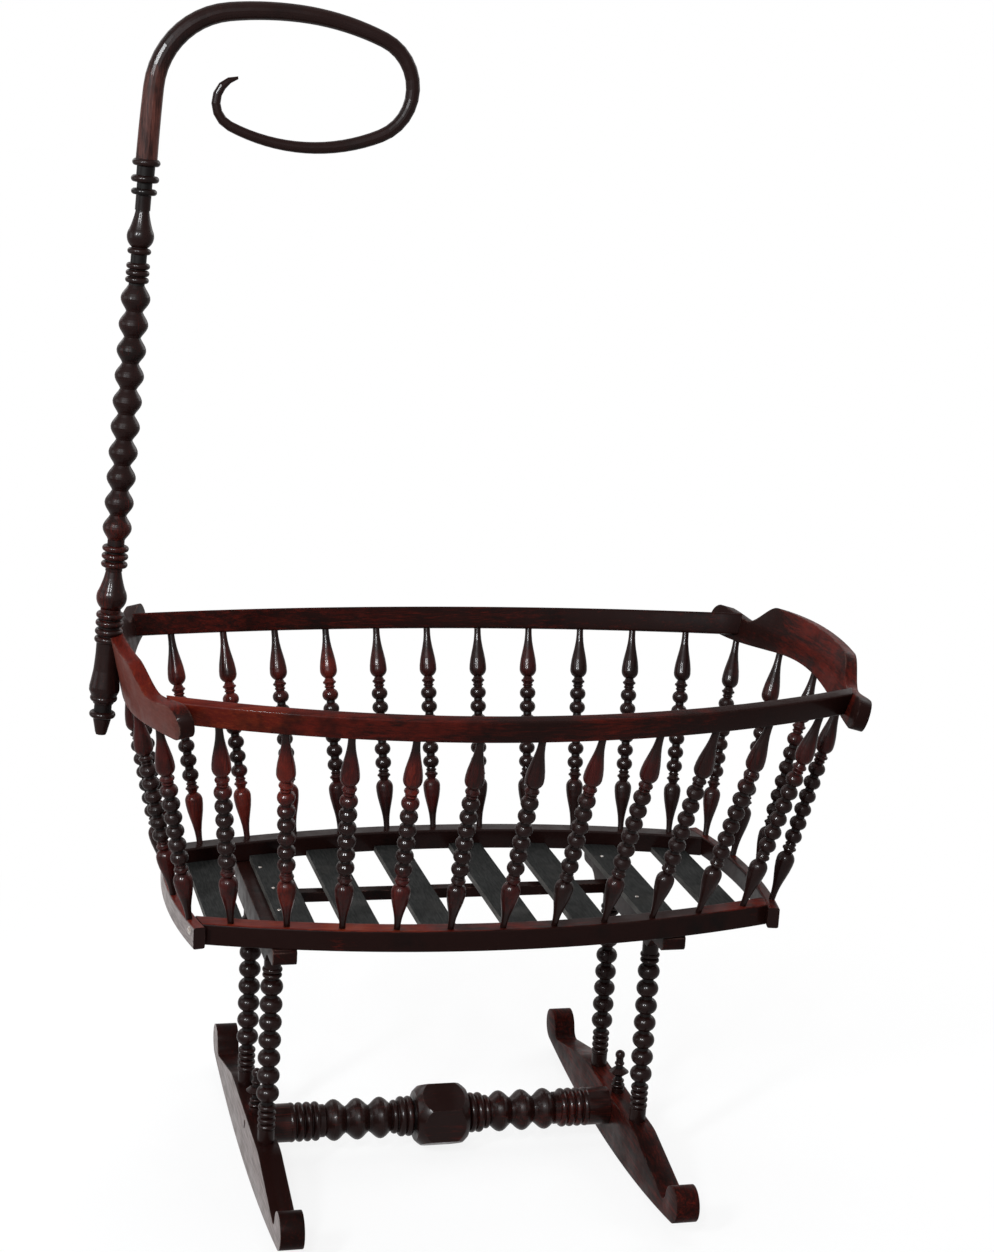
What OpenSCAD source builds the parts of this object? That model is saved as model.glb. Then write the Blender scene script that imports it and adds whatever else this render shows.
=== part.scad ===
// Rocking cradle on a turned stand, with a swan-neck canopy pole.
// Millimetres. +X runs from the head (pole end) to the foot, -Y is the front, +Z is up.
// The origin is on the floor, under the middle of the whole object.

/* [Stand] */
// Distance along the length between the middles of the two bearers
bearer_spacing = 600; // [580:10:620]
// Distance across between the two posts of a pair
post_gap = 216; // [200:4:232]
// Height of the bearers' top faces, where the basket rests
stand_height = 436; // [430:2:446]
// Thickness of the bearers and of the rocker planks
plank_thick = 36; // [32:1:40]
// Height of a rocker at its middle
rocker_height = 82; // [78:1:86]
// Radius of the rocker's rolling edge
rocker_radius = 2200; // [1800:50:2600]
// Distance from the middle of a rocker to the middle of its scroll
scroll_reach = 342; // [334:2:346]
// Radius of a rocker's scroll
scroll_radius = 28; // [26:1:30]
// Depth of a bearer at the posts
bearer_depth = 44; // [40:1:48]
// Length of a bearer, front to back
bearer_length = 430; // [400:5:440]

/* [Basket bottom] */
// How far the basket stands towards the foot end from the middle of the stand
basket_shift = 21; // [10:1:30]
// Distance from the middle to the middle line of a bottom side rail
bottom_half_width = 231; // [225:1:238]
// Outward bow of the bottom side rails
bottom_bow = 62; // [56:1:68]
// Half length over which that bow is measured
bottom_half_length = 420; // [410:2:430]
// Side of the square section of the bottom rails
bottom_rail = 33; // [30:1:36]
// Thickness of the bottom end rails
end_rail_thick = 18; // [16:1:22]
// Distance from the middle to the middle line of a bottom end rail
end_rail_reach = 465; // [460:1:470]
// Outward bow of the bottom end rails
end_rail_bow = 20; // [16:1:24]
// Half length of the bottom end rails
end_rail_half = 196; // [194:1:200]
// Width of a slat
slat_width = 53; // [46:1:56]
// Thickness of a slat
slat_thick = 10; // [8:1:12]

/* [Basket rim] */
// Outward lean of the sides, in degrees
side_lean = 17; // [15:0.5:19]
// Height of the middle line of the top side rails
rim_height = 804; // [794:1:814]
// Outward bow of the top side rails
top_bow = 89; // [82:1:94]
// Half length over which that bow is measured
top_half_length = 499; // [489:2:505]
// Rise of the rim towards its ends, as the tilt of each rail's plane in degrees
top_tilt = 6.4; // [4:0.2:8]
// Thickness of a top side rail
top_rail_thick = 18; // [16:1:20]
// Height of a top side rail
top_rail_height = 36; // [32:1:38]
// Thickness of the two end boards
board_thick = 20; // [18:1:22]
// Distance from the middle of the basket to the ends of the head board
head_end_reach = 485; // [480:1:490]
// Distance from the middle of the basket to the ends of the foot board
foot_end_reach = 499; // [494:1:504]
// Outward bow of the head board
head_board_bow = 47; // [42:1:50]
// Outward bow of the foot board
foot_board_bow = 36; // [32:1:38]
// Outward lean of the head board, in degrees
head_board_lean = 13; // [12:0.5:15]
// Outward lean of the foot board, in degrees
foot_board_lean = 15; // [13:0.5:17]
// Middle of the head board's lower edge, below the rim's middle line
head_board_drop = 39; // [30:1:42]
// Middle of the foot board's lower edge, above the rim's middle line
foot_board_arch = 3; // [0:1:8]
// Rise of the head board's crest above the rim's middle line
head_crest_rise = 61; // [56:1:72]
// Rise of the foot board's crest above the rim's middle line
foot_crest_rise = 70; // [60:1:74]

/* [Spindles] */
// Spindles along each side
side_spindles = 11; // [11:2:11]
// Spacing of the front spindles at the top rail
front_top_pitch = 90.8; // [88:0.2:91]
// Spacing of the back spindles at the top rail
back_top_pitch = 87.8; // [86:0.2:88]
// How far the front spindles' tops stand towards the foot end
front_top_shift = 16; // [10:1:16]
// How far the back spindles' tops stand towards the head end
back_top_shift = 6.5; // [0:0.5:8]
// Spacing of the side spindles at the bottom rails
foot_pitch = 79.1; // [77:0.2:80]
// Spindles at each end
end_spindles = 4; // [4:1:4]
// Spacing of the end spindles at the boards
end_top_pitch = 141; // [136:1:144]
// How far the foot spindles' tops stand towards the back
foot_top_shift = 35; // [0:1:36]
// Spacing of the end spindles at the bottom end rails
end_foot_pitch = 103; // [98:1:106]
// Radius of a spindle's beads
bead_radius = 13.4; // [12:0.2:13.8]
// Radius of a spindle's two vases
vase_radius = 14.2; // [12:0.2:15]
// Radius of the pin at a spindle's top
neck_pin = 5.5; // [5:0.1:6]
// Radius of the pin at a spindle's foot
foot_pin = 4.8; // [4.4:0.1:5.4]

/* [Posts] */
// Radius of a post's beads
post_bead = 17.5; // [16:0.5:18.5]
// Beads on a post
post_beads = 7; // [7:1:7]
// Radius of a post's plain ends
post_end = 13; // [12:0.5:14]
// Height of the small finials on the rockers
finial_height = 73; // [70:1:78]

/* [Lower stretcher] */
// Height of the stretcher's axis
stretcher_height = 59; // [56:1:62]
// Radius of the stretcher's beads
stretcher_bead = 33; // [31:0.5:35]
// Radius of the stretcher's plain ends
stretcher_end = 30.5; // [29:0.5:31]
// Radius of the central knop, over its corners
knop_radius = 54; // [51:0.5:56]
// Half the length of the central knop
knop_half = 42; // [38:1:45]

/* [Canopy pole] */
// Length of the turned pole, from its foot to the swan neck
pole_length = 848; // [838:1:858]
// Inward lean of the pole, in degrees
pole_lean = 3.3; // [3:0.1:4]
// How far the pole's foot hangs below the rim's middle line
pole_hang = 97; // [94:1:100]
// Distance from the head board's outer face to the pole's axis, at the rim's middle line
pole_stand_off = 17.5; // [16:0.5:18.5]
// Radius of the pole's beads
pole_bead = 21.3; // [19.5:0.1:22.5]
// Length of the swan neck along its curve
swan_length = 979; // [959:5:999]
// Swan neck radius at its base
swan_base = 15.5; // [14:0.5:16]
// Swan neck radius near its tip
swan_tip = 6; // [5:0.5:7]

/* [Hidden] */
head = 0;
foot = 1;
smooth = 48;
arc_smooth = 360;
quarter = 90;
soft = 3;
// Depth of the pins and tenons in their seats
pin_depth = 12;
tenon_depth = 10;
tenon_radius = 9;
finial_tenon = 6;

bearer_x = bearer_spacing / 2;
post_y = post_gap / 2;
bearer_low = stand_height - bearer_depth;
rocker_inner = bearer_x - plank_thick / 2;

// Middle lines of the rails, as circular arcs through their bows
function arc_radius(half, bow) = (half * half + bow * bow) / (2 * bow);
function sag(r, x) = r - sqrt(r * r - x * x);
bottom_r = arc_radius(bottom_half_length, bottom_bow);
top_r = arc_radius(top_half_length, top_bow);
end_r = arc_radius(end_rail_half, end_rail_bow);
bottom_z = stand_height + bottom_rail / 2;
top_half_width = bottom_half_width + (rim_height - bottom_z) * tan(side_lean);

// Middle of a top side rail and of a bottom side rail at a distance x along the basket, front side
function top_point(x) = [
    x,
    sag(top_r, x) * cos(top_tilt) - top_half_width,
    rim_height + sag(top_r, x) * sin(top_tilt)
];
function bottom_point(x) = [x, sag(bottom_r, x) - bottom_half_width, bottom_z];

// End boards: arcs in leaning planes, the head's value first
end_reach = [head_end_reach, foot_end_reach];
board_bow = [head_board_bow, foot_board_bow];
board_lean = [head_board_lean, foot_board_lean];
board_low_mid = [-head_board_drop, foot_board_arch];
board_half = 300;
crest_rise = [head_crest_rise, foot_crest_rise];
hump_drop = 7;
saddle_rise = 18;
saddle_swell = 4;
ear_drop = 26;
hump_half = 138;
saddle_at = 222;
function board_r(e) = arc_radius(board_half, board_bow[e]);
function board_x(e) = end_reach[e] + board_bow[e];

// Heights on a board's own face, from the rim's middle line
function ease(t) = (1 - cos(180 * min(1, max(0, t)))) / 2;
function board_top(y, e) =
    crest_rise[e] - hump_drop * pow(min(y, hump_half) / hump_half, 2)
    - (crest_rise[e] - hump_drop - saddle_rise) * ease((y - hump_half) / (saddle_at - hump_half))
    + saddle_swell * ease((y - saddle_at) / (board_half - saddle_at));
function board_low(y, e) =
    board_low_mid[e] + (-ear_drop - board_low_mid[e]) * ease(y / board_half);
function board_point(e, y, h) = [
    board_x(e) + (sqrt(pow(board_r(e) + board_thick / 2, 2) - y * y) - board_r(e)) * cos(board_lean[e])
        + h * sin(board_lean[e]),
    y,
    rim_height + h * cos(board_lean[e])
        - (sqrt(pow(board_r(e) + board_thick / 2, 2) - y * y) - board_r(e)) * sin(board_lean[e])
];
function end_rail_point(y) = [end_rail_reach - sag(end_r, y), y, bottom_z];

// The pole's foot, and the widest place of the belly above it
pole_foot_x = board_x(head) + board_thick + pole_stand_off + pole_hang * tan(pole_lean);
pole_belly = 22.5;
pole_belly_at = 68;

// The middle of the whole object lies between the foot board's crest and the pole's belly
crest_x = board_x(foot) + board_thick * cos(board_lean[foot])
    + board_top(0, foot) * sin(board_lean[foot]);
belly_x = pole_foot_x - pole_belly_at * sin(pole_lean) + pole_belly * cos(pole_lean);
middle_x = basket_shift + (crest_x - belly_x) / 2;

// Slats lie in pairs about the middle
slat_at = [-395, -290, -194, -78, 50, 160, 276, 390];
// Pegs through pole and head board, above the rim's middle line
peg_rise = [8, 34];
peg_radius = 5;
peg_length = 60;
peg_in_pole = 25;

// Part to show, or "all"

wood = [0.28, 0.1, 0.07];
dark_wood = [0.16, 0.08, 0.06];
slat_wood = [0.12, 0.11, 0.11];

// ---------- placing ----------

module on_stand() {
    translate([-middle_x, 0, 0]) children();
}

module in_basket() {
    translate([basket_shift - middle_x, 0, 0]) children();
}

// The head end is the foot end turned about, seen in a mirror
module at_end(e) {
    if (e == foot) children();
    else mirror([1, 0, 0]) children();
}

module on_side(back) {
    if (back) mirror([0, 1, 0]) children();
    else children();
}

// Puts a local +Z from point a towards point b
module along(a, b) {
    d = b - a;
    translate(a)
        rotate([0, acos(d[2] / norm(d)), atan2(d[1], d[0])]) children();
}

// ---------- shared outlines ----------

function arc_points(c, r, a0, a1, n) =
    [for (i = [0:n]) let (a = a0 + (a1 - a0) * i / n) [c[0] + r * cos(a), c[1] + r * sin(a)]];

// A rectangle with softened corners
module soft_rect(w, h) {
    x = w / 2 - soft;
    y = h / 2 - soft;
    polygon(concat(
        arc_points([x, y], soft, 0, 90, 4),
        arc_points([-x, y], soft, 90, 180, 4),
        arc_points([-x, -y], soft, 180, 270, 4),
        arc_points([x, -y], soft, 270, 360, 4)
    ));
}

// Half profiles for turning: x is the radius, y runs along the axis
module plain(y0, y1, r) {
    translate([0, y0]) square([r, y1 - y0]);
}

module ring(y, r, tube) {
    translate([0, y - tube]) square([r - tube, 2 * tube]);
    translate([r - tube, y]) circle(r = tube, $fn = smooth);
}

module round_bead(y, r, half) {
    translate([0, y - half]) square([r - half, 2 * half]);
    translate([r - half, y]) circle(r = half, $fn = smooth);
}

module ball(y, r) {
    translate([0, y]) circle(r = r, $fn = smooth);
}

// A vase: a ball with a hollow taper that runs to y_neck, just inside the pin of radius r_neck there
module vase(y_ball, r, y_neck, r_neck) {
    steps = 5;
    s = sign(y_neck - y_ball);
    r_start = 0.98 * r * cos(18);
    y_start = y_ball + s * r * sin(18);
    ball(y_ball, r);
    polygon(concat(
        [[0, y_ball + s], [r_start - 1, y_ball + s], [r_start, y_start]],
        [for (i = [1:steps]) let (t = i / steps) [
            r_neck - 0.1 + (r_start - r_neck) * pow(1 - t, 1.5),
            y_start + (y_neck - y_start) * t
        ]],
        [[0, y_neck]]
    ));
}

// A row of pointed beads, as a wave along the axis
module wave_beads(y0, count, pitch, r, r_neck) {
    steps = 10;
    polygon(concat(
        [[0, y0]],
        [for (i = [0:count * steps]) let (t = i / steps)
            [r_neck + (r - r_neck) * pow(abs(sin(180 * t)), 1.3), y0 + t * pitch]],
        [[0, y0 + count * pitch]]
    ));
}

module turned() {
    rotate_extrude($fn = smooth) intersection() {
        union() children();
        translate([0, -50]) square([100, 1000]);
    }
}

// ---------- basket spindles ----------

// One spindle of visible length v, standing on its local origin: half of the profile, then the
// same half from the other end
function spindle_half(v, r_pin) =
    let (
        y_ball = 0.205 * v,
        r_neck = 0.52 * bead_radius,
        half = 0.032 * v,
        centre = bead_radius - half,
        swing = acos((r_neck - centre) / half)
    )
    concat(
        [[r_pin, -pin_depth]],
        [for (t = [0:0.15:0.9]) [r_pin + (vase_radius - r_pin) * pow(ease(t), 1.3), t * y_ball]],
        arc_points([0, y_ball], vase_radius, 0, 62, 7),
        arc_points([0.82 * bead_radius - 2.6, 0.264 * v], 2.6, -80, 80, 4),
        arc_points([0.66 * bead_radius - 2, 0.286 * v], 2, -80, 80, 4),
        [for (i = [-2.5:-0.5]) each arc_points([centre, (0.5 + 0.0695 * i) * v], half, -swing, swing, 8)]
    );

module spindle_turning(v) {
    low = spindle_half(v, foot_pin);
    high = spindle_half(v, neck_pin);
    rotate_extrude($fn = smooth) polygon(concat(
        [[0, -pin_depth]],
        low,
        [for (i = [len(high) - 1:-1:0]) [high[i][0], v - high[i][1]]],
        [[0, v + pin_depth]]
    ));
}

function seat_in(a, b, da, db) = let (d = (b - a) / norm(b - a)) [a + d * da, b - d * db];

// Where a spindle comes out of its two rails
function side_seats(i, back) =
    let (
        k = i - (side_spindles + 1) / 2,
        x_top = back ? k * back_top_pitch - back_top_shift : k * front_top_pitch + front_top_shift
    )
    seat_in(bottom_point(k * foot_pitch), top_point(x_top),
        bottom_rail / 2 / cos(side_lean), top_rail_height / 2);
function end_seats(i, e) =
    let (
        k = i - (end_spindles + 1) / 2,
        y = k * end_top_pitch + (e == foot ? foot_top_shift : 0)
    )
    seat_in(end_rail_point(k * end_foot_pitch), board_point(e, y, board_low(abs(y), e)),
        bottom_rail / 2 / cos(side_lean), 0);

module spindle(seats) {
    along(seats[0], seats[1]) spindle_turning(norm(seats[1] - seats[0]));
}

// The holes that take a spindle's two pins
module pin_holes(seats) {
    v = norm(seats[1] - seats[0]);
    along(seats[0], seats[1]) rotate([0, 0, quarter]) {
        translate([0, 0, -pin_depth]) cylinder(r = foot_pin, h = 2 * pin_depth, $fn = smooth);
        translate([0, 0, v - pin_depth]) cylinder(r = neck_pin, h = 2 * pin_depth, $fn = smooth);
    }
}

module side_spindle(i, back) {
    color(wood) in_basket() on_side(back) spindle(side_seats(i, back));
}

module end_spindle(i, e) {
    color(wood) in_basket() at_end(e) spindle(end_seats(i, e));
}

// ---------- basket rails ----------

module bent_bar(r, half_angle) {
    rotate([0, 0, -half_angle])
        rotate_extrude(angle = 2 * half_angle, $fn = arc_smooth) translate([r, 0]) children();
}

module top_rail_bar() {
    translate([0, top_r * cos(top_tilt) - top_half_width, rim_height + top_r * sin(top_tilt)])
        rotate([top_tilt, 0, 0]) rotate([0, 0, -90])
            bent_bar(top_r, 22) rotate(top_tilt - side_lean) soft_rect(top_rail_thick, top_rail_height);
}

// Everything on the inner side of an end board
module board_inside(e) {
    translate([board_x(e), 0, rim_height]) rotate([0, board_lean[e], 0])
        translate([-board_r(e), 0, -500]) cylinder(r = board_r(e), h = 1000, $fn = arc_smooth);
}

module top_rail(back) {
    color(wood) in_basket() on_side(back) difference() {
        intersection() {
            top_rail_bar();
            board_inside(foot);
            mirror([1, 0, 0]) board_inside(head);
        }
        for (i = [1:side_spindles]) pin_holes(side_seats(i, back));
    }
}

module bottom_rail_bar() {
    translate([0, bottom_r - bottom_half_width, bottom_z]) rotate([0, 0, -90])
        bent_bar(bottom_r, 18) soft_rect(bottom_rail, bottom_rail);
}

module end_rail_inside() {
    inner = end_r - end_rail_thick / 2;
    translate([end_rail_reach - end_r, 0, stand_height - 1])
        cylinder(r = inner, h = bottom_rail + 2, $fn = arc_smooth);
}

module bottom_side_rail(back) {
    color(wood) in_basket() on_side(back) difference() {
        intersection() {
            bottom_rail_bar();
            end_rail_inside();
            mirror([1, 0, 0]) end_rail_inside();
        }
        for (i = [1:side_spindles]) pin_holes(side_seats(i, back));
        for (x = slat_at) slat_board(x, 1);
    }
}

module bottom_end_rail(e) {
    color(wood) in_basket() at_end(e) difference() {
        translate([end_rail_reach - end_r, 0, bottom_z])
            bent_bar(end_r, asin(end_rail_half / end_r)) soft_rect(end_rail_thick, bottom_rail);
        for (i = [1:end_spindles]) pin_holes(end_seats(i, e));
    }
}

// A slat, let into the undersides of both side rails as far as their middle lines
module slat_board(x, below) {
    reach = bottom_half_width - sag(bottom_r, x);
    translate([x - slat_width / 2, -reach, stand_height - below])
        cube([slat_width, 2 * reach, slat_thick + below]);
}

module slat(i) {
    color(slat_wood) in_basket() slat_board(slat_at[i - 1], 0);
}

// ---------- end boards ----------

module board_outline(e) {
    step = 7.5;
    stops = [for (y = [0:step:board_half]) y];
    ear_mid = (board_top(board_half, e) + board_low(board_half, e)) / 2;
    ear_r = (board_top(board_half, e) - board_low(board_half, e)) / 2;
    right = concat(
        [for (y = stops) [y, board_top(y, e)]],
        [for (p = arc_points([board_half, ear_mid], ear_r, 75, -75, 10)) p],
        [for (i = [len(stops) - 1:-1:0]) [stops[i], board_low(stops[i], e)]]
    );
    polygon(concat(right, [for (i = [len(right) - 2:-1:1]) [-right[i][0], right[i][1]]]));
}

module board_blank(e) {
    deep = board_bow[e] + 20;
    translate([board_x(e), 0, rim_height]) rotate([0, board_lean[e], 0]) intersection() {
        translate([-board_r(e), 0, -100]) difference() {
            cylinder(r = board_r(e) + board_thick, h = 200, $fn = arc_smooth);
            translate([0, 0, -1]) cylinder(r = board_r(e), h = 202, $fn = arc_smooth);
        }
        translate([-deep, 0, 0]) rotate([90, 0, 90])
            linear_extrude(deep + board_thick + 1) board_outline(e);
    }
}

module end_board(e) {
    color(wood) in_basket() difference() {
        at_end(e) difference() {
            board_blank(e);
            for (i = [1:end_spindles]) pin_holes(end_seats(i, e));
        }
        if (e == head) pegs(peg_radius);
    }
}

// ---------- canopy pole ----------

module at_pole() {
    translate([-pole_foot_x, 0, rim_height - pole_hang])
        rotate([0, pole_lean, 0]) children();
}

// Heights up from the pole's foot
module pole_low_turning() {
    polygon([[0, 0], [7.5, 0], [9, 4], [13, 22], [13, 48], [0, 48]]);
    ring(31, 19.5, 5);
    ring(56, 20.2, 5);
    polygon([
        [0, 44], [15, 48], [19, 60], [pole_belly, pole_belly_at], [pole_belly, 74],
        [18.5, 99], [17, 125], [17, 142], [0, 142]
    ]);
    plain(140, 192, 15);
    for (y = [146, 158, 171, 183]) ring(y, 20.7, 5);
    vase(210, 22.5, 256, 11);
    plain(250, 298, 12.5);
    for (y = [260, 272, 284]) ring(y, 19.5, 4.5);
}

// Heights down from the swan neck
module pole_high_turning() {
    plain(-182, -118, 11.5);
    for (y = [-171, -161, -151, -130]) ring(y, 17, 4.5);
    vase(-109, 19.5, -68, 9.5);
    plain(-72, -1, 11);
    ring(-46, 18.5, 4.5);
    ring(-28, 20, 5);
    plain(-24, -2, 13);
    ring(-5, 20, 5);
    plain(-6, 0, 17);
    plain(-1, pin_depth, tenon_radius);
}

module pole_turning() {
    beads = 10;
    first = 296;
    last = pole_length - 179;
    turned() {
        pole_low_turning();
        wave_beads(first, beads, (last - first) / beads, pole_bead, 12);
        translate([0, pole_length]) pole_high_turning();
    }
}

module pegs(r) {
    for (z = peg_rise) translate([-board_x(head) - board_thick - peg_in_pole, 0, rim_height + z])
        rotate([0, 90, 0]) cylinder(r = r, h = peg_length, $fn = smooth);
}

module canopy_pole() {
    color(wood) in_basket() difference() {
        at_pole() pole_turning();
        mirror([1, 0, 0]) board_blank(head);
        pegs(peg_radius);
    }
}

// Two pegs hold the pole to the head board, flush with the board's inner face
module pole_pegs() {
    color(dark_wood) in_basket() difference() {
        pegs(peg_radius);
        mirror([1, 0, 0]) board_inside(head);
    }
}

// ---------- swan neck ----------

// The centre line is a chain of arcs: [share of the length, turn in degrees]
swan_arcs = [
    [0.1032, 2], [0.1655, 77], [0.1021, 11.4], [0.1307, 19], [0.1747, 134], [0.2308, 48], [0.093, 147]
];
swan_step = 15;
swan_sides = 20;

// Points along the chain as [x, z, heading], each arc in equal steps
function arc_walk(from, arc, n) = [
    for (
        i = 0, p = from;
        i <= n;
        i = i + 1,
        p = [
            p[0] + swan_length * arc[0] / n * cos(p[2] - arc[1] / n / 2),
            p[1] + swan_length * arc[0] / n * sin(p[2] - arc[1] / n / 2),
            p[2] - arc[1] / n
        ]
    ) p
];
function chain(i, from) =
    let (
        n = ceil(swan_length * swan_arcs[i][0] / swan_step),
        run = arc_walk(from, swan_arcs[i], n)
    )
    i == len(swan_arcs) - 1 ? run
        : concat([for (k = [0:n - 1]) run[k]], chain(i + 1, run[n]));
swan_line = chain(0, [0, pole_length, 90]);
swan_last = len(swan_line) - 1;
// Slow taper, then a rounded tip
function swan_radius(t) =
    (swan_base - (swan_base - swan_tip) * pow(t, 1.1)) * min(1, sqrt((1.004 - t) / 0.035));

module swan_sweep() {
    points = [for (i = [0:swan_last], k = [0:swan_sides - 1])
        let (
            p = swan_line[i],
            r = swan_radius(i / swan_last),
            a = 360 * k / swan_sides
        )
        [p[0] + r * cos(a) * sin(p[2]), r * sin(a), p[1] - r * cos(a) * cos(p[2])]];
    sides = [for (i = [0:swan_last - 1], k = [0:swan_sides - 1])
        let (
            a = i * swan_sides + k,
            b = i * swan_sides + (k + 1) % swan_sides
        )
        each [[a, b + swan_sides, b], [a, a + swan_sides, b + swan_sides]]];
    base = [for (k = [0:swan_sides - 1]) k];
    tip = [for (k = [swan_sides - 1:-1:0]) swan_last * swan_sides + k];
    polyhedron(points, concat([base], sides, [tip]));
}

module swan_neck_hook() {
    color(dark_wood) in_basket() at_pole() difference() {
        swan_sweep();
        translate([0, 0, pole_length - 1]) cylinder(r = tenon_radius, h = pin_depth + 1, $fn = smooth);
    }
}

// ---------- stand ----------

// Half of a rocker's outline, from the middle of its underside round the scroll to the top
scroll_z = rocker_radius - sqrt(pow(rocker_radius - scroll_radius, 2) - scroll_reach * scroll_reach);
roll_angle = asin(scroll_reach / (rocker_radius - scroll_radius));
rocker_half = concat(
    arc_points([0, rocker_radius], rocker_radius, -90, -90 + roll_angle, 30),
    arc_points([scroll_reach, scroll_z], scroll_radius, -80, 168, 31),
    arc_points([scroll_reach - scroll_radius - 16, scroll_z + 6], 16, -20, -110, 9),
    arc_points([post_y + 22, rocker_height - 120], 120, 74, 90, 4)
);

module rocker(side) {
    other = [for (i = [len(rocker_half) - 1:-1:1]) [-rocker_half[i][0], rocker_half[i][1]]];
    color(wood) on_stand() difference() {
        translate([side * bearer_x - plank_thick / 2, 0, 0]) rotate([90, 0, 90])
            linear_extrude(plank_thick) polygon(concat(rocker_half, other));
        for (y = [-post_y, post_y]) translate([side * bearer_x, y, rocker_height - tenon_depth])
            cylinder(r = tenon_radius, h = tenon_depth + 1, $fn = smooth);
        translate([side * bearer_x, 0, rocker_height - tenon_depth])
            cylinder(r = finial_tenon, h = tenon_depth + 1, $fn = smooth);
        stretcher_tenons();
    }
}

module bearer_outline() {
    low_half = post_y + 34;
    nose = 25;
    half = bearer_length / 2;
    round_r = 9;
    end = [half - round_r, bearer_depth - nose + round_r];
    right = concat(
        [[low_half, 0], [low_half + 14, (bearer_depth - nose) * 0.8], [low_half + 24, bearer_depth - nose]],
        arc_points(end, round_r, -90, 0, 6),
        [[half, bearer_depth - 4], [half - 4, bearer_depth]]
    );
    left = [for (i = [len(right) - 1:-1:0]) [-right[i][0], right[i][1]]];
    polygon(concat(right, left));
}

module bearer(side) {
    color(wood) on_stand() difference() {
        translate([side * bearer_x - plank_thick / 2, 0, bearer_low]) rotate([90, 0, 90])
            linear_extrude(plank_thick) bearer_outline();
        for (y = [-post_y, post_y]) translate([side * bearer_x, y, bearer_low - 1])
            cylinder(r = tenon_radius, h = pin_depth + 1, $fn = smooth);
        bar_stick();
    }
}

// Turned in one piece from the rocker's top to the bearer's underside, with a tenon at each end
module post(side, back) {
    rise = bearer_low - rocker_height;
    pitch = 0.0939 * rise;
    first = 0.2594 * rise;
    last = first + (post_beads - 1) * pitch;
    color(wood) on_stand() translate([side * bearer_x, back * post_y, rocker_height]) turned() {
        plain(-tenon_depth, 1, tenon_radius);
        plain(0, 22, post_end);
        for (i = [0:3]) ring(26 + i * 10.5, post_end + 1, 4.6);
        plain(20, rise - 24, 9);
        for (i = [0:post_beads - 1]) round_bead(first + i * pitch, post_bead, 13.2);
        ring(last + 19, 15, 3.6);
        ring(last + 28, 15.5, 4);
        plain(last + 28, rise, post_end);
        plain(rise - 1, rise + pin_depth, tenon_radius);
    }
}

// Drawn for a finial 73 high and brought to size by u
module rocker_finials() {
    u = finial_height / 73;
    color(wood) on_stand() for (side = [-1, 1])
        translate([side * bearer_x, 0, rocker_height]) turned() {
            plain(-tenon_depth, 1, finial_tenon);
            plain(0, 8 * u, 10 * u);
            plain(7 * u, 60 * u, 6 * u);
            ring(12 * u, 11 * u, 2.5 * u);
            ring(20 * u, 9.5 * u, 2.5 * u);
            polygon(u * [[0, 29], [9, 30], [16, 36], [9, 42], [0, 43]]);
            ring(50 * u, 8 * u, 2.5 * u);
            ball(65 * u, 8 * u);
        }
}

// Half of the stretcher's profile, from its middle to the rocker
module stretcher_half() {
    end = rocker_inner;
    ring_tube_big = 6;
    for (y = [52, 64]) ring(y, 32, ring_tube_big);
    plain(40, 80, 24);
    ring(76, 27, 5);
    wave_beads(80, 3, 37.5, stretcher_bead, 20.5);
    plain(190, end, 26);
    for (y = [198:13:237]) ring(y + ring_tube_big, stretcher_end + 0.7, ring_tube_big);
    plain(246, end, stretcher_end);
    plain(end - 1, end + tenon_depth, 14);
}

module lower_stretcher() {
    color(wood) on_stand() translate([0, 0, stretcher_height]) rotate([0, 90, 0]) {
        intersection() {
            sphere(r = knop_radius + 4, $fn = 2 * smooth);
            translate([0, 0, -knop_half]) linear_extrude(2 * knop_half) circle(r = knop_radius, $fn = 6);
        }
        turned() stretcher_half();
        mirror([0, 0, 1]) turned() stretcher_half();
    }
}

module stretcher_tenons() {
    translate([-rocker_inner - tenon_depth, 0, stretcher_height]) rotate([0, 90, 0])
        cylinder(r = 14, h = 2 * (rocker_inner + tenon_depth), $fn = smooth);
}

// A thin bar that ties the two bearers together, tenoned into their inner faces
module bar_stick() {
    half = rocker_inner + 8;
    translate([-half, 50, stand_height - 25]) cube([2 * half, 20, 16]);
}

module upper_stretcher_bar() {
    color(dark_wood) on_stand() bar_stick();
}

// ---------- parts ----------

rocker(-1);  // head_rocker
rocker(1);  // foot_rocker
post(-1, -1);  // head_front_post
post(-1, 1);  // head_back_post
post(1, -1);  // foot_front_post
post(1, 1);  // foot_back_post
rocker_finials();
bearer(-1);  // head_bearer
bearer(1);  // foot_bearer
lower_stretcher();
upper_stretcher_bar();
bottom_side_rail(false);  // front_bottom_rail
bottom_side_rail(true);  // back_bottom_rail
bottom_end_rail(head);  // head_bottom_rail
bottom_end_rail(foot);  // foot_bottom_rail
for (i = [1:len(slat_at)]) slat(i);
for (i = [1:side_spindles]) side_spindle(i, false);
for (i = [1:side_spindles]) side_spindle(i, true);
for (i = [1:end_spindles]) end_spindle(i, head);
for (i = [1:end_spindles]) end_spindle(i, foot);
top_rail(false);  // front_top_rail
top_rail(true);  // back_top_rail
end_board(head);  // head_board
end_board(foot);  // foot_board
canopy_pole();
swan_neck_hook();
pole_pegs();
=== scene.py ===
"""Looks of the rocking cradle: varnished mahogany, small fittings, studio light and camera."""

import math

import bmesh
import bpy
from mathutils import Matrix, Vector


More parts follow.
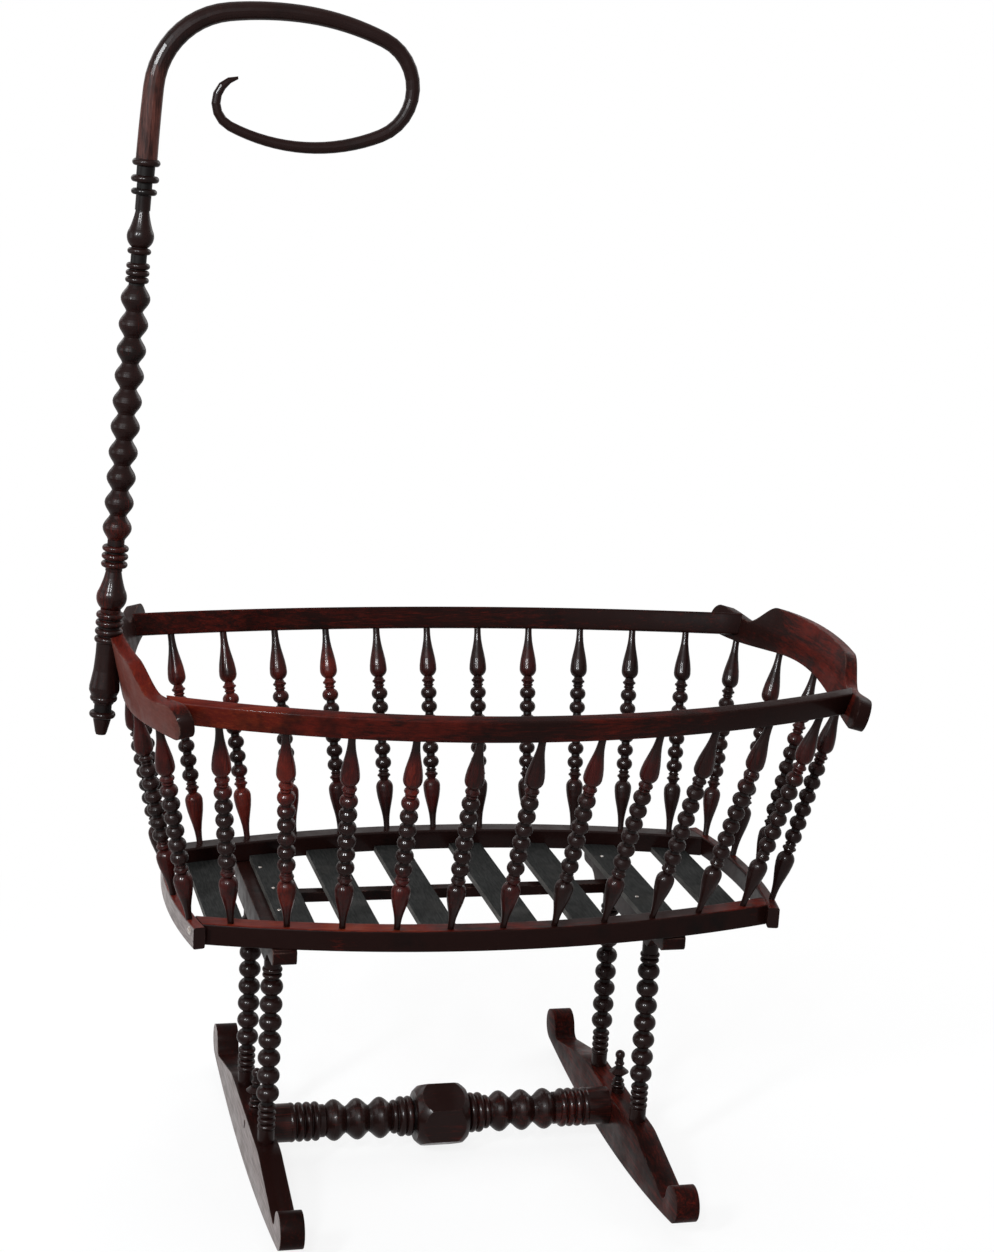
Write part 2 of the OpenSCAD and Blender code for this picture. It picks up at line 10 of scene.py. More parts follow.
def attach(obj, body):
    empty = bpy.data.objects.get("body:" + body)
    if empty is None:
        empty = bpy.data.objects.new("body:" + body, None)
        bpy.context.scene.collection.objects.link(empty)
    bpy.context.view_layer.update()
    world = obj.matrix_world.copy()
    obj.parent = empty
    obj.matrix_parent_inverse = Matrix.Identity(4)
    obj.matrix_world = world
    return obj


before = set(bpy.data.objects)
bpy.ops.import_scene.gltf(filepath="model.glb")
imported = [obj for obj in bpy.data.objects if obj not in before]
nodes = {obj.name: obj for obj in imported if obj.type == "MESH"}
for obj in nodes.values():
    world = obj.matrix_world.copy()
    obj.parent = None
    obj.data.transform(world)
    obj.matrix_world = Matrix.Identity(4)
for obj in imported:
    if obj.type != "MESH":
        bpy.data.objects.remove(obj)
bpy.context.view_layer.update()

# ---------- camera ----------

# Place in metres and turns in radians, solved from points measured in the photograph.
CAMERA_PLACE = (-0.8653, -3.3850, 1.6985)
YAW, PITCH, ROLL = 0.26064, 0.23178, 0.05924
# Focal length and sensor width in millimetres.
LENS, SENSOR = 67.08, 36
FARTHEST_SEEN = 60


def laid(point, right, up, out):
    """The matrix that puts the origin at point and lays X, Y and Z along right, up and out."""
    return Matrix.Translation(point) @ Matrix((right, up, out)).transposed().to_4x4()


def photo_camera():
    """The camera at the photograph's place, turned by yaw, then pitch down, then roll."""
    forward = Vector(
        (
            math.sin(YAW) * math.cos(PITCH),
            math.cos(YAW) * math.cos(PITCH),
            -math.sin(PITCH),
        )
    )
    level = Vector((math.cos(YAW), -math.sin(YAW), 0))
    upward = level.cross(forward)
    right = math.cos(ROLL) * level + math.sin(ROLL) * upward
    up = -math.sin(ROLL) * level + math.cos(ROLL) * upward
    camera = bpy.data.objects.new("camera", bpy.data.cameras.new("camera"))
    bpy.context.scene.collection.objects.link(camera)
    camera.data.sensor_width = SENSOR
    camera.data.lens = LENS
    camera.data.clip_end = FARTHEST_SEEN
    camera.matrix_world = laid(CAMERA_PLACE, right, up, -forward)
    bpy.context.scene.camera = camera


photo_camera()

# ---------- node helpers ----------

# How much finer noise is across each grain than along it.
ALONG = {"x": (1, 12, 12), "y": (12, 1, 12), "z": (12, 12, 1)}


def grey(level):
    """A colour without hue."""
    return (level, level, level)


class Graph:
    """The node tree of a material or of the world, built a node at a time."""

    def __init__(self, name, holder=None):
        self.holder = holder or bpy.data.materials.new(name)
        self.holder.use_nodes = True
        self.tree = self.holder.node_tree
        self.tree.nodes.clear()

    def node(self, kind, values=None, **settings):
        """A node of the kind; a value is either an output to link or a plain value."""
        made = self.tree.nodes.new("ShaderNode" + kind)
        for key, value in settings.items():
            setattr(made, key, value)
        for key, value in (values or {}).items():
            if isinstance(value, bpy.types.NodeSocket):
                self.tree.links.new(value, made.inputs[key])
            else:
                made.inputs[key].default_value = value
        return made

    def math(self, operation, a, b=0.0):
        return self.node("Math", {0: a, 1: b}, operation=operation).outputs[0]

    def times(self, a, b):
        return self.math("MULTIPLY", a, b)

    def plus(self, a, b):
        return self.math("ADD", a, b)

    def minus(self, a, b):
        return self.math("SUBTRACT", a, b)

    def larger(self, a, b):
        return self.math("MAXIMUM", a, b)

    def between(self, value, low, high, to_low=0.0, to_high=1.0):
        """value, smoothly stretched from low..high to to_low..to_high."""
        made = self.node(
            "MapRange",
            {"Value": value, "From Min": low, "From Max": high, "To Min": to_low, "To Max": to_high},
            interpolation_type="SMOOTHSTEP",
        )
        return made.outputs["Result"]

    def hump(self, value, middle, half):
        """1 near the middle, fading to 0 where value is half away from it."""
        away = self.math("ABSOLUTE", self.minus(value, middle))
        return self.between(away, half, 0.25 * half)

    def mix(self, share, a, b):
        """Colour a, with the given share of colour b."""
        made = self.node("Mix", {"Factor": share}, data_type="RGBA")
        for key, value in ((6, a), (7, b)):
            if isinstance(value, bpy.types.NodeSocket):
                self.tree.links.new(value, made.inputs[key])
            else:
                made.inputs[key].default_value = (*value, 1)
        return made.outputs[2]

    def noise(self, place, scale, detail, roughness=0.5, distortion=0.0):
        """Noise with about scale blots to a unit of place."""
        made = self.node(
            "TexNoise",
            {
                "Vector": place,
                "Scale": scale,
                "Detail": detail,
                "Roughness": roughness,
                "Distortion": distortion,
            },
        )
        return made.outputs["Fac"]

    def place(self):
        """The point on the piece, in metres."""
        return self.node("TexCoord").outputs["Object"]

    def drawn_out(self, place, grain):
        """The place, so scaled that noise is drawn out along the grain."""
        return self.node("Mapping", {"Vector": place, "Scale": ALONG[grain]}).outputs[0]

    def axes(self, vector):
        """The X, Y and Z of a vector."""
        made = self.node("SeparateXYZ", {0: vector})
        return made.outputs[0], made.outputs[1], made.outputs[2]

    def finish(self, shader, kind="Material"):
        """Ends the tree with the shader, and gives back the material or world that holds it."""
        out = self.node("Output" + kind)
        self.tree.links.new(shader, out.inputs[0])
        return self.holder


# ---------- wood ----------

RED = (0.078, 0.0078, 0.0046)
ORANGE = (0.125, 0.017, 0.0060)
SOOT = (0.0075, 0.0062, 0.0060)
CRIMSON = (0.038, 0.0042, 0.0034)
GARNET = (0.090, 0.0090, 0.0050)
BROWN = (0.0105, 0.0034, 0.0028)
BLACK = (0.0030, 0.0024, 0.0022)
# Painted shade: a near-black laid into hollows and creases, where shade gathers.
HOLLOW_SHADE = tuple(0.45 * c for c in BLACK)
WORN = (0.12, 0.066, 0.054)
# A dusky red: the swan neck's own red, and on the head board's outer faces a painted sheen.
DUSKY = (0.105, 0.034, 0.026)
# A painted grey sheen: the pale room reflected on the faces that look towards the head end.
SHEEN_GREY = (0.30, 0.255, 0.245)

AGED_GREY = (0.0066, 0.0072, 0.0070)
PALER_GREY = (0.019, 0.0192, 0.0186)
DUST = (0.046, 0.044, 0.042)
SAWN = (0.10, 0.095, 0.088)

# The varnish mirrors a white room, and shows only a little of it.
WAX_SPECULAR = 0.035
VARNISH_COAT = 0.065
VARNISH_ROUGHNESS = 0.12
DULL_SPECULAR = 0.03


def varnished_wood(
    name,
    grain,
    redness,
    red=RED,
    bright=ORANGE,
    gloss=0.28,
    shine=1.0,
    wear=0.5,
    relief=1.0,
    patchy=0.35,
    round_by=0.0015,
    outer=None,
):
    """Old polished mahogany, brown with red and then bright figure, with painted shade darkening its
    hollows.

    redness(g, x, y, z) says where it is red, and patchy how uneven that is.
    gloss is the least roughness, shine the varnish's strength, and relief that of its unevenness.
    wear rubs the edges pale, and round_by is the radius to which they are shaded.
    outer is a painted sheen: a colour with its share for the faces turned away from the basket at the head
    end, standing in for the room's light reflected there.
    """
    g = Graph(name)
    place = g.place()
    x, y, z = g.axes(place)
    stretched = g.drawn_out(place, grain)
    soft_normal = g.node("Bevel", {"Radius": round_by}, samples=4).outputs[0]
    geometry = g.node("NewGeometry")
    normal = geometry.outputs["Normal"]

    figure = g.noise(stretched, scale=9, detail=6, roughness=0.6, distortion=1.2)
    streaks = g.noise(stretched, scale=45, detail=5, roughness=0.65, distortion=0.3)
    pores = g.noise(stretched, scale=170, detail=3, roughness=0.6)
    patches = g.noise(place, scale=8, detail=3, roughness=0.55)
    cloud = g.noise(place, scale=2.4, detail=2)
    spots = g.noise(place, scale=16, detail=3, roughness=0.6)

    tone = g.plus(g.times(figure, 0.55), g.times(streaks, 0.45))
    tone = g.plus(tone, g.times(g.minus(redness(g, x, y, z), 0.5), 0.42))
    tone = g.plus(tone, g.times(g.minus(patches, 0.5), patchy))
    wood = g.mix(g.between(tone, 0.36, 0.68), BROWN, red)
    wood = g.mix(g.between(tone, 0.66, 0.86), wood, bright)
    stain = g.plus(g.times(spots, 0.6), g.times(cloud, 0.4))
    wood = g.mix(g.between(stain, 0.5, 0.66, 0.0, 0.85), wood, BLACK)
    wood = g.mix(g.between(pores, 0.6, 0.76, 0.0, 0.5), wood, BLACK)
    # Painted sheen: faces that look towards the head end take the outer colour, broken up by noise, in
    # place of the room's reflection.
    if outer:
        colour, share = outer
        sheen_share = g.between(g.axes(normal)[0], -0.7, -0.93, 0.0, share)
        sheen_breakup = g.between(g.noise(stretched, scale=22, detail=4, roughness=0.6), 0.3, 0.7, 0.55, 1.0)
        wood = g.mix(g.times(sheen_share, sheen_breakup), wood, colour)

    turn = g.node("VectorMath", {0: soft_normal, 1: normal}, operation="DOT_PRODUCT")
    edge = g.between(turn.outputs["Value"], 0.995, 0.9)
    rub = g.between(g.noise(place, scale=40, detail=4, roughness=0.65), 0.42, 0.66)
    wood = g.mix(g.times(g.times(edge, rub), wear), wood, WORN)
    # Painted shade: hollows, found by pointiness, darken towards near-black; they are made rougher too.
    hollow = g.between(geometry.outputs["Pointiness"], 0.49, 0.42)
    wood = g.mix(g.times(hollow, 0.8), wood, HOLLOW_SHADE)

    smears = g.noise(place, scale=28, detail=4, roughness=0.6)
    rough = g.plus(g.between(smears, 0.3, 0.75, gloss, gloss + 0.2), g.times(hollow, 0.2))
    height = g.plus(g.times(pores, -0.2), g.times(streaks, 0.2))
    height = g.plus(height, g.noise(place, scale=24, detail=2))
    bump = g.node(
        "Bump",
        {"Height": height, "Strength": 0.1 * relief, "Distance": 0.0012, "Normal": soft_normal},
    )

    shader = g.node(
        "BsdfPrincipled",
        {
            "Base Color": wood,
            "Roughness": rough,
            "Normal": bump.outputs[0],
            "Specular IOR Level": WAX_SPECULAR * shine,
            "Coat Weight": VARNISH_COAT * shine,
            "Coat Roughness": VARNISH_ROUGHNESS,
        },
    )
    return g.finish(shader.outputs[0])


# Where pieces are redder, in metres: the head end is at -X, the foot end at +X, the front at -Y.
# The heights of the vases' middles, where the spindles' painted glow sits.
UPPER_VASES, LOWER_VASES = 0.722, 0.53


def spindle_red(g, x, y, z):
    """Vases are redder than the beads, with a painted glow across their middles, and the foot end and the
    outermost head end are blacker.
    """
    # Painted glow: a brighter red across the middles of the upper and lower vases.
    lower = g.times(g.hump(z, LOWER_VASES, 0.06), 0.8)
    vase_glow = g.times(g.larger(g.hump(z, UPPER_VASES, 0.07), lower), 1.1)
    footward = g.between(x, -0.4, 0.3, 0.15, -0.75)
    headmost = g.between(x, -0.4, -0.45, 0.0, -0.4)
    spot = g.noise(g.node("CombineXYZ", {0: x, 1: y}).outputs[0], scale=7.5, detail=1)
    one_by_one = g.between(spot, 0.4, 0.62, -0.3, 0.2)
    return g.plus(g.plus(vase_glow, g.plus(footward, headmost)), one_by_one)


def front_rail_red(g, x, y, z):
    """Bright at the head end, plain in the middle, blacker at the foot end."""
    return g.plus(g.between(x, -0.42, 0.0, 1.1, 0.3), g.between(x, 0.1, 0.4, 0.0, -0.45))


def back_rail_red(g, x, y, z):
    """A little redder at the head end."""
    return g.between(x, -0.5, 0.3, 0.45, 0.15)


def bottom_rail_red(g, x, y, z):
    """Painted light and shade: the upper faces are painted redder and lighter, less so at the foot end,
    and the upright ones painted darker.
    """
    upward = g.axes(g.node("NewGeometry").outputs["Normal"])[2]
    footward = g.between(x, -0.2, 0.35, 0.0, -0.5)
    return g.plus(g.between(upward, 0.3, 0.9, -0.35, 0.85), g.times(footward, g.between(upward, 0.3, 0.9)))


def foot_board_red(g, x, y, z):
    """Red from the middle to the front, with a black front ear."""
    return g.plus(g.between(y, 0.24, 0.02, 0.1, 0.65), g.between(y, -0.27, -0.31, 0.0, -1.1))


def head_board_red(g, x, y, z):
    """Red from the middle to the front, with a black front end."""
    return g.plus(g.between(y, 0.12, -0.02, 0.1, 0.75), g.between(y, -0.30, -0.34, 0.0, -1.1))


def pole_red(g, x, y, z):
    """The bulb and the foot are redder than the beads above them."""
    return g.between(z, 1.06, 1.0, 0.0, 0.3)


def swan_red(g, x, y, z):
    """Only the straight neck above the pole is red."""
    neck = g.times(g.between(x, -0.44, -0.48), g.between(z, 1.74, 1.64))
    return g.between(neck, 0.0, 1.0, -0.1, 0.6)


def even(amount):
    """The same redness all over."""
    return lambda g, x, y, z: amount


def slat_wood():
    """Dull, unpolished boards, grey with age, dusty, a little paler at the sawn edges."""
    g = Graph("wood_slats")
    place = g.place()
    streaks = g.noise(g.drawn_out(place, "y"), scale=40, detail=5, roughness=0.65, distortion=0.4)
    dust = g.noise(place, scale=12, detail=5, roughness=0.6)
    upward = g.axes(g.node("NewGeometry").outputs["Normal"])[2]
    wood = g.mix(g.between(streaks, 0.38, 0.62), AGED_GREY, PALER_GREY)
    wood = g.mix(g.between(dust, 0.5, 0.72, 0.0, 0.5), wood, DUST)
    wood = g.mix(g.between(upward, 0.7, 0.2, 0.0, 0.75), wood, SAWN)
    height = g.plus(g.times(streaks, 0.6), g.times(dust, 0.5))
    bump = g.node("Bump", {"Height": height, "Strength": 0.3, "Distance": 0.001})
    shader = g.node(
        "BsdfPrincipled",
        {
            "Base Color": wood,
            "Roughness": g.between(dust, 0.3, 0.7, 0.5, 0.72),
            "Normal": bump.outputs[0],
            "Specular IOR Level": DULL_SPECULAR,
        },
    )
    return g.finish(shader.outputs[0])


# What the turned pieces share, then the stand's flat pieces, then the two boards of the rim.
TURNED = {"relief": 0.5, "round_by": 0.0006}
STAND_FLAT = {"gloss": 0.3, "round_by": 0.003}
BOARD = {"gloss": 0.38, "shine": 0.4, "round_by": 0.004}

WOODS = {
    "spindle": varnished_wood(
        "wood_spindles", "z", spindle_red, CRIMSON, GARNET, shine=1.4, wear=0.2, **TURNED
    ),
    "front_top": varnished_wood(
        "wood_front_top_rail", "x", front_rail_red, gloss=0.34, shine=0.6, patchy=0.7, round_by=0.003
    ),
    "back_top": varnished_wood(
        "wood_back_top_rail", "x", back_rail_red, gloss=0.34, shine=0.4, round_by=0.003
    ),
    "bottom_side": varnished_wood(
        "wood_bottom_side_rails", "x", bottom_rail_red, shine=0.6, wear=0.3, patchy=1.2
    ),
    "back_bottom": varnished_wood(
        "wood_back_bottom_rail", "x", even(0.1), SOOT, BROWN, gloss=0.3, wear=0.3
    ),
    # Its outer faces carry a painted grey sheen.
    "head_bottom": varnished_wood(
        "wood_head_bottom_rail", "y", bottom_rail_red, gloss=0.3, wear=0.8, outer=(SHEEN_GREY, 0.8)
    ),
    "foot_bottom": varnished_wood("wood_foot_bottom_rail", "y", bottom_rail_red, gloss=0.3, wear=0.4),
    "foot_board": varnished_wood("wood_foot_board", "y", foot_board_red, wear=0.7, patchy=0.7, **BOARD),
    # Its outer faces carry a painted dusky sheen.
    "head_board": varnished_wood(
        "wood_head_board", "y", head_board_red, wear=0.9, outer=(DUSKY, 0.8), **BOARD
    ),
    "post": varnished_wood("wood_posts", "z", even(0.0), shine=1.4, wear=0.2, **TURNED),
    # Its outer face carries a painted grey sheen.
    "head_rocker": varnished_wood(
        "wood_head_rocker", "y", even(0.1), shine=0.4, wear=0.6, outer=(SHEEN_GREY, 0.95), **STAND_FLAT
    ),
    "foot_rocker": varnished_wood("wood_foot_rocker", "y", even(0.35), shine=0.4, **STAND_FLAT),
    "bearer": varnished_wood("wood_bearers", "y", even(0.1), shine=0.5, wear=0.9, **STAND_FLAT),
    "stretcher": varnished_wood("wood_stretcher", "x", even(0.2), shine=1.5, patchy=0.7),
    "pole": varnished_wood("wood_pole", "z", pole_red, shine=1.2, patchy=0.7, wear=0.25, **TURNED),
    "swan": varnished_wood(
        "wood_swan_neck",
        "z",
        swan_red,
        DUSKY,
        gloss=0.32,
        shine=1.2,
        patchy=0.8,
        relief=0.4,
        round_by=0.0006,
        wear=0.2,
    ),
    "slat": slat_wood(),
}

# The woods of the nodes whose names don't give them in the ways that kind_of knows.
KINDS = {
    "front_top_rail": "front_top",
    "back_top_rail": "back_top",
    "front_bottom_rail": "bottom_side",
    "back_bottom_rail": "back_bottom",
    "head_bottom_rail": "head_bottom",
    "foot_bottom_rail": "foot_bottom",
    "rocker_finials": "post",
    "lower_stretcher": "stretcher",
    "upper_stretcher_bar": "bearer",
    "canopy_pole": "pole",
    "pole_pegs": "pole",
    "swan_neck_hook": "swan",
}


def kind_of(name):
    """The wood of a node: as listed, or by the word in its name, or the wood of the same name."""
    if name in KINDS:
        return KINDS[name]
    for kind in ("spindle", "slat", "post", "bearer"):
        if kind in name:
            return kind
    return name


for name, piece in nodes.items():
    piece.data.materials.clear()
    piece.data.materials.append(WOODS[kind_of(name)])

# ---------- soft edges ----------

# The width, in metres, to which a piece's edges are rounded off.
ROUNDED = {
    "head_board": 0.003,
    "foot_board": 0.003,
    "head_rocker": 0.006,
    "foot_rocker": 0.006,
    "head_bearer": 0.0015,
    "foot_bearer": 0.0015,
    "front_top_rail": 0.002,
    "back_top_rail": 0.002,
}
WELD_DISTANCE = 1e-5
BEVEL_STEPS = 3
BEVEL_FROM = math.radians(50)
SHARP_FROM = math.radians(32)


def even_shading(limit):
    """A node group that shades faces smooth and keeps the edges sharper than limit.

    It first takes off the normals that a piece came with, which don't fit its rounded edges.
    """
    tree = bpy.data.node_groups.new("even_shading", "GeometryNodeTree")
    tree.interface.new_socket("Geometry", in_out="INPUT", socket_type="NodeSocketGeometry")
    tree.interface.new_socket("Geometry", in_out="OUTPUT", socket_type="NodeSocketGeometry")
    came = tree.nodes.new("NodeGroupInput")
    went = tree.nodes.new("NodeGroupOutput")
    plain = tree.nodes.new("GeometryNodeRemoveAttribute")
    plain.inputs["Name"].default_value = "custom_normal"
    faces = tree.nodes.new("GeometryNodeSetShadeSmooth")
    edges = tree.nodes.new("GeometryNodeSetShadeSmooth")
    edges.domain = "EDGE"
    edges.inputs["Shade Smooth"].default_value = False
    angle = tree.nodes.new("GeometryNodeInputMeshEdgeAngle")
    sharp = tree.nodes.new("FunctionNodeCompare")
    sharp.operation = "GREATER_THAN"
    sharp.inputs[1].default_value = limit
    tree.links.new(angle.outputs["Unsigned Angle"], sharp.inputs[0])
    tree.links.new(sharp.outputs[0], edges.inputs["Selection"])
    for a, b in ((came, plain), (plain, faces), (faces, edges), (edges, went)):
        tree.links.new(a.outputs[0], b.inputs["Geometry"])
    return tree


EVEN = even_shading(SHARP_FROM)
for name, width in ROUNDED.items():
    piece = nodes[name]
    weld = piece.modifiers.new("weld", "WELD")
    weld.merge_threshold = WELD_DISTANCE
    bevel = piece.modifiers.new("soft_edges", "BEVEL")
    bevel.width = width
    bevel.segments = BEVEL_STEPS
    bevel.limit_method = "ANGLE"
    bevel.angle_limit = BEVEL_FROM
    smooth = piece.modifiers.new("even_shading", "NODES")
    smooth.node_group = EVEN

# ---------- small fittings ----------

# A place along X or Z, in metres, that lies outside the pieces that the fittings sit on.
OUTSIDE = 0.6


def on_surface(name, start, direction):
    """The point and the outward normal where a line from start first meets the named piece."""
    hit, point, normal, _ = nodes[name].ray_cast(Vector(start), Vector(direction))
    if not hit:
        raise ValueError(f"no surface of {name} there")
    return point, normal


def on_outer_face(name, y, z):
    """The same where a line along X, from outside, meets a piece of the head end or the foot end."""
    inward = 1 if name.startswith("head") else -1
    return on_surface(name, (-inward * OUTSIDE, y, z), (inward, 0, 0))


def frame_at(point, normal, up):
    """A turn and shift that lays +Z along normal and +Y nearest to up."""
    side = Vector(up).cross(normal).normalized()
    return laid(point, side, normal.cross(side), normal)


def turned(made, profile, place, steps):
    """Adds a solid turned round local Z from (radius, height) pairs that start and end on the axis."""
    rings = []
    for radius, height in profile:
        count = steps if radius else 1
        angles = [math.tau * k / steps for k in range(count)]
        corners = [Vector((radius * math.cos(a), radius * math.sin(a), height)) for a in angles]
        rings.append([made.verts.new(place @ corner) for corner in corners])
    for low, high in zip(rings, rings[1:]):
        for k in range(steps):
            lower = [low[k % len(low)], low[(k + 1) % len(low)]]
            upper = [high[(k + 1) % len(high)], high[k % len(high)]]
            corners = list(dict.fromkeys(lower + upper))
            if len(corners) > 2:
                made.faces.new(corners)


# The shares of a block's height that it reaches below the surface, and above it before it tapers.
SUNK, STRAIGHT = 0.3, 0.6


def block(made, place, size, taper):
    """Adds a block that stands on local z = 0, its top narrowed by taper all round."""
    x, y, z = size
    rings = []
    for shrink, height in ((0, -SUNK * z), (0, STRAIGHT * z), (taper, z)):
        a, b = x / 2 - shrink, y / 2 - shrink
        corners = ((-a, -b), (a, -b), (a, b), (-a, b))
        rings.append([made.verts.new(place @ Vector((u, v, height))) for u, v in corners])
    made.faces.new(rings[0][::-1])
    made.faces.new(rings[-1])
    for low, high in zip(rings, rings[1:]):
        for k in range(4):
            made.faces.new((low[k], low[(k + 1) % 4], high[(k + 1) % 4], high[k]))


def added(name, made, material, smooth):
    """Makes what was drawn so far a piece of the cradle, hung under the root body."""
    mesh = bpy.data.meshes.new(name)
    bmesh.ops.recalc_face_normals(made, faces=made.faces)
    made.to_mesh(mesh)
    made.free()
    mesh.polygons.foreach_set("use_smooth", [smooth] * len(mesh.polygons))
    mesh.materials.append(material)
    piece = bpy.data.objects.new(name, mesh)
    bpy.context.scene.collection.objects.link(piece)
    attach(piece, "root")


RUBBED_IRON = (0.50, 0.48, 0.46)
RUSTY_IRON = (0.20, 0.15, 0.12)


def iron():
    """Old nails and screws, rubbed bright in places and rusty in others."""
    g = Graph("old_iron")
    rust = g.noise(g.place(), scale=260, detail=4, roughness=0.6)
    bump = g.node("Bump", {"Height": rust, "Strength": 0.3, "Distance": 0.0004})
    shader = g.node(
        "BsdfPrincipled",
        {
            "Base Color": g.mix(g.between(rust, 0.4, 0.62), RUBBED_IRON, RUSTY_IRON),
            "Metallic": 0.35,
            "Roughness": g.between(rust, 0.3, 0.7, 0.3, 0.6),
            "Normal": bump.outputs[0],
        },
    )
    return g.finish(shader.outputs[0])


IRON = iron()

# (radius, height) pairs of a nail's head, and the nails' places across the cradle.
NAIL_HEAD = (
    (0, -0.001),
    (0.0030, -0.001),
    (0.0031, 0.0002),
    (0.0025, 0.0008),
    (0.0013, 0.0012),
    (0, 0.0013),
)
NAIL_STEPS = 12
NAIL_YS = (-0.158, -0.073, 0.024, 0.121)
# Each nailed slat, with the place of its row along the cradle and the row's shift across it.
NAILED = (("bottom_slat_2", -0.2945, 0.0), ("bottom_slat_7", 0.278, 0.007))
NAIL_STAGGER = 0.003


def nails():
    """Nails through the two wide slats into the bearers, in turn to either side of their row's line."""
    made = bmesh.new()
    for slat, x, shift in NAILED:
        for k, y in enumerate(NAIL_YS):
            above = (x + NAIL_STAGGER * (-1) ** k, y + shift, OUTSIDE)
            point, normal = on_surface(slat, above, (0, 0, -1))
            turned(made, NAIL_HEAD, frame_at(point, normal, (0, 1, 0)), NAIL_STEPS)
    added("slat_nails", made, IRON, True)


WEDGE_SIZE = (0.0035, 0.014, 0.0009)
WEDGE_TAPER = 0.0006
WEDGE_Y, WEDGE_Z = -0.007, 0.064
WEDGE_UP = (0, -0.25, 1)


def wedge_ends():
    """The wedge that tightens the low stretcher's tenon shows on each rocker's outer face."""
    made = bmesh.new()
    for rocker in ("head_rocker", "foot_rocker"):
        point, normal = on_outer_face(rocker, WEDGE_Y, WEDGE_Z)
        block(made, frame_at(point, normal, WEDGE_UP), WEDGE_SIZE, WEDGE_TAPER)
    added("stretcher_wedges", made, WOODS["bearer"], False)


# (radius, height) pairs of a screw's head. Two halves stand on it, and its slot is left between them.
SCREW_TOP = 0.0009
SCREW_HEAD = ((0, -0.002), (0.0062, -0.002), (0.0064, 0.0005), (0.0058, SCREW_TOP), (0, SCREW_TOP))
SCREW_STEPS = 20
HALF_SIZE = (0.0036, 0.0078, 0.0008)
HALF_TAPER = 0.0006
HALF_FROM_MIDDLE = 0.0027
SCREW_Y, SCREW_Z = 0.179, 0.459
SCREW_UP = (0, 0.3, 1)


def screws():
    """A slotted screw in the outer face of each bottom end rail, near both its ends."""
    made = bmesh.new()
    for rail in ("head_bottom_rail", "foot_bottom_rail"):
        for y in (-SCREW_Y, SCREW_Y):
            point, normal = on_outer_face(rail, y, SCREW_Z)
            place = frame_at(point, normal, SCREW_UP)
            turned(made, SCREW_HEAD, place, SCREW_STEPS)
            for side in (-1, 1):
                half = place @ Matrix.Translation((HALF_FROM_MIDDLE * side, 0, SCREW_TOP))
                block(made, half, HALF_SIZE, HALF_TAPER)
    added("end_rail_screws", made, IRON, False)


nails()
wedge_ends()
screws()

# ---------- floor, backdrop and light ----------

WHITE = (1, 1, 1)
DAYLIGHT = (0.95, 0.98, 1.0)
WARM = (1.0, 0.97, 0.93)
SKY = (0.92, 0.96, 1.0)
SKY_STRENGTH = 0.16

# The floor's reach from the middle to each side, and where its paper fades to plain white, in metres.
FLOOR_REACH = 14
FADE_FROM, FADE_TO = 0.6, 1.5
# The share of plain white over the paper before it fades.
WHITE_SHARE = 0.85


def shows_background(g):
    """1 for the rays that see the background itself: the camera's, the mirrored and the refracted."""
    path = g.node("LightPath")
    seen = g.larger(path.outputs["Is Camera Ray"], path.outputs["Is Transmission Ray"])
    return g.larger(seen, path.outputs["Is Glossy Ray"])


def room():
    """White to the camera and in the varnish, with faint bluish light from all round."""
    scene = bpy.context.scene
    scene.view_settings.view_transform = "Standard"
    scene.world = bpy.data.worlds.new("studio")
    g = Graph("studio", scene.world)
    white = g.node("Background", {0: (*WHITE, 1), 1: 1.0}).outputs[0]
    soft = g.node("Background", {0: (*SKY, 1), 1: SKY_STRENGTH}).outputs[0]
    g.finish(g.node("MixShader", {0: shows_background(g), 1: soft, 2: white}).outputs[0], "World")


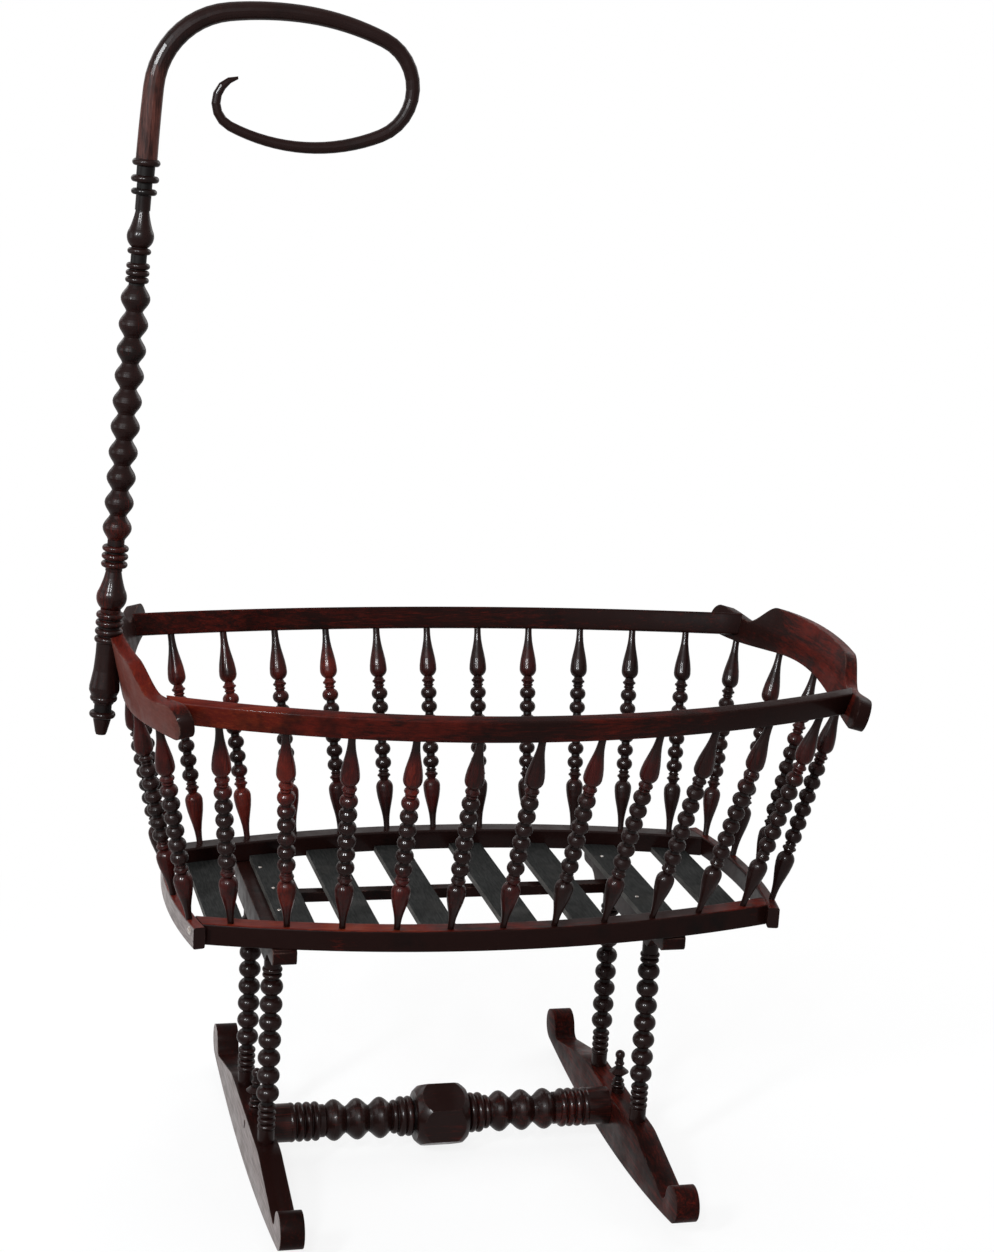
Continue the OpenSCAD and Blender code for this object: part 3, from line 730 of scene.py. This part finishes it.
def floor():
    """Pale paper that keeps the shadow near the cradle and fades to plain white away from it.

    The light that it throws back on the cradle is that of a darker paper.
    """
    mesh = bpy.data.meshes.new("floor")
    made = bmesh.new()
    bmesh.ops.create_grid(made, x_segments=8, y_segments=8, size=FLOOR_REACH)
    made.to_mesh(mesh)
    made.free()
    piece = bpy.data.objects.new("floor", mesh)
    bpy.context.scene.collection.objects.link(piece)
    g = Graph("floor_paper")
    place = g.place()
    fibre = g.noise(place, scale=3, detail=3)
    lit = g.node("BsdfDiffuse", {"Color": g.mix(fibre, grey(0.86), grey(0.9))}).outputs[0]
    dim = g.node("BsdfDiffuse", {"Color": g.mix(fibre, grey(0.36), grey(0.4))}).outputs[0]
    white = g.node("Emission", {"Color": (*WHITE, 1), "Strength": 1.0}).outputs[0]
    away = g.node("VectorMath", {0: place}, operation="LENGTH").outputs["Value"]
    share = g.between(away, FADE_FROM, FADE_TO, WHITE_SHARE, 1.0)
    seen = g.node("MixShader", {0: share, 1: lit, 2: white}).outputs[0]
    both = g.node("MixShader", {0: shows_background(g), 1: dim, 2: seen}).outputs[0]
    mesh.materials.append(g.finish(both))


def area_light(name, place, size, power, colour=WHITE, aim=0.7, mirrored=True, lights=True):
    """A soft lamp aimed at the height aim over the middle of the floor.

    Its place and size are in metres, and its power is in watts.
    mirrored says if the varnish shows it, and lights if it lights the wood itself.
    """
    lamp = bpy.data.lights.new(name, "AREA")
    lamp.shape = "RECTANGLE"
    lamp.size, lamp.size_y = size
    lamp.energy = power
    lamp.color = colour
    piece = bpy.data.objects.new(name, lamp)
    bpy.context.scene.collection.objects.link(piece)
    piece.location = place
    piece.rotation_mode = "QUATERNION"
    piece.rotation_quaternion = (Vector((0, 0, aim)) - Vector(place)).to_track_quat("-Z", "Y")
    piece.visible_glossy = mirrored
    piece.visible_diffuse = lights


room()
floor()
area_light("window_left", (-3.2, -3.0, 3.0), (0.3, 0.9), 125, DAYLIGHT)
area_light("window_middle", (-1.7, -4.0, 3.2), (0.3, 0.9), 90, DAYLIGHT)
area_light("gleam_left", (-3.3, -3.1, 3.1), (0.5, 1.3), 420, DAYLIGHT, lights=False)
area_light("gleam_middle", (-1.8, -4.1, 3.3), (0.4, 1.2), 320, DAYLIGHT, lights=False)
area_light("far_left", (-4.6, 0.2, 1.7), (2.2, 2.4), 60, DAYLIGHT, aim=0.8)
area_light("back_left", (-2.4, 3.8, 3.2), (2.4, 2.0), 50)
area_light("back_right", (3.4, 2.4, 2.8), (2.4, 2.0), 65)
area_light("window_right", (3.2, -3.2, 2.6), (1.0, 1.6), 30, WARM, mirrored=False)
area_light("ceiling", (0.3, 0.6, 3.8), (2.6, 2.6), 65, aim=0.5, mirrored=False)
